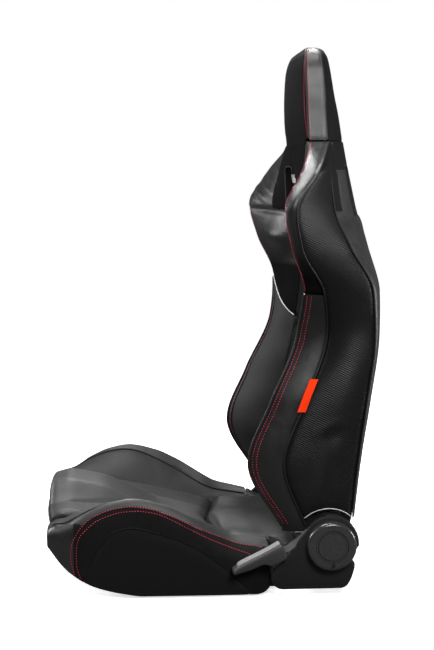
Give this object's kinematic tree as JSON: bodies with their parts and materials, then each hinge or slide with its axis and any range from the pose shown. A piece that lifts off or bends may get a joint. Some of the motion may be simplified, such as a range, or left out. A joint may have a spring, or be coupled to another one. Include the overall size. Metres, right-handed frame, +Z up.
{
  "type": "reclining racing seat",
  "caption": "Reclining racing bucket seat with bolstered cushion, winged backrest, fixed headrest, harness slots and a lever-released recliner on each side.",
  "frame": {"origin": "middle of the centre strap's underside, on the floor mounting plane midway between the side members", "axes": "+X towards the occupant's left, the side with the lever; -Y is the way the seat faces; +Z up"},
  "size_m": [0.626, 0.606, 0.952],
  "materials": {
    "leatherette": "satin black",
    "suede_cloth": "matt black",
    "carbon_look_vinyl": "ribbed satin black",
    "back_lining": "satin dark grey",
    "painted_steel": "black paint",
    "bright_steel": "zinc plated",
    "spring_steel": "oiled",
    "moulded_plastic": "grained",
    "light_plastic": "smooth",
    "tag_cloth": "woven"
  },
  "bodies": {
    "base": {"side_member_left": "painted_steel", "side_member_right": "painted_steel", "front_cross_tube": "painted_steel", "rear_cross_tube": "painted_steel", "centre_strap": "painted_steel", "seat_spring_1": "spring_steel", "seat_spring_2": "spring_steel", "seat_spring_3": "spring_steel", "seat_spring_4": "spring_steel", "cushion_centre": "suede_cloth", "cushion_hip_pad": "suede_cloth", "cushion_apron": "leatherette", "cushion_bolster_left": "leatherette", "cushion_bolster_right": "leatherette", "cushion_side_panel_left": "carbon_look_vinyl", "cushion_side_panel_right": "carbon_look_vinyl", "fixed_disc_left": "bright_steel", "fixed_disc_right": "bright_steel", "recliner_plate_left": "painted_steel", "recliner_plate_right": "painted_steel", "recliner_cover_left": "moulded_plastic", "recliner_cover_right": "moulded_plastic", "pivot_cap_left": "moulded_plastic", "pivot_cap_right": "moulded_plastic", "recline_spring_left": "spring_steel", "recline_spring_right": "spring_steel", "foot_bolt_left_front": "bright_steel", "foot_bolt_left_rear": "bright_steel", "foot_bolt_right_front": "bright_steel", "foot_bolt_right_rear": "bright_steel"},
    "backrest": {"torso_bolster_left": "leatherette", "torso_bolster_right": "leatherette", "shoulder_wing_left": "leatherette", "shoulder_wing_right": "leatherette", "headrest_cover": "leatherette", "lumbar_insert": "suede_cloth", "upper_insert": "suede_cloth", "headrest_pad": "suede_cloth", "side_panel_left": "carbon_look_vinyl", "side_panel_right": "carbon_look_vinyl", "back_panel": "back_lining", "back_hoop": "painted_steel", "lower_cross_bar": "painted_steel", "upper_cross_bar": "painted_steel", "recliner_arm_left": "painted_steel", "recliner_arm_right": "painted_steel", "moving_disc_left": "bright_steel", "moving_disc_right": "bright_steel", "back_spring_1": "spring_steel", "back_spring_2": "spring_steel", "back_spring_3": "spring_steel", "back_spring_4": "spring_steel", "harness_sleeve_left": "light_plastic", "harness_sleeve_right": "light_plastic", "side_tag": "tag_cloth"},
    "lever": {"lever_arm": "bright_steel", "lever_grip": "moulded_plastic", "release_rod": "bright_steel"}
  },
  "joints": [
    {"name": "recline", "type": "hinge", "parent": "base", "child": "backrest", "pos_m": [0, 0.176, 0.092], "axis": [-1, 0, 0], "range_deg": [-20, 68], "deforming": ["recline_spring_left", "recline_spring_right"]},
    {"name": "lever", "type": "hinge", "parent": "base", "child": "lever", "pos_m": [0, 0.176, 0.092], "axis": [-1, 0, 0], "range_deg": [0, 25], "stiffness_Nm_per_rad": 4, "springref_deg": -5.73}
  ]
}
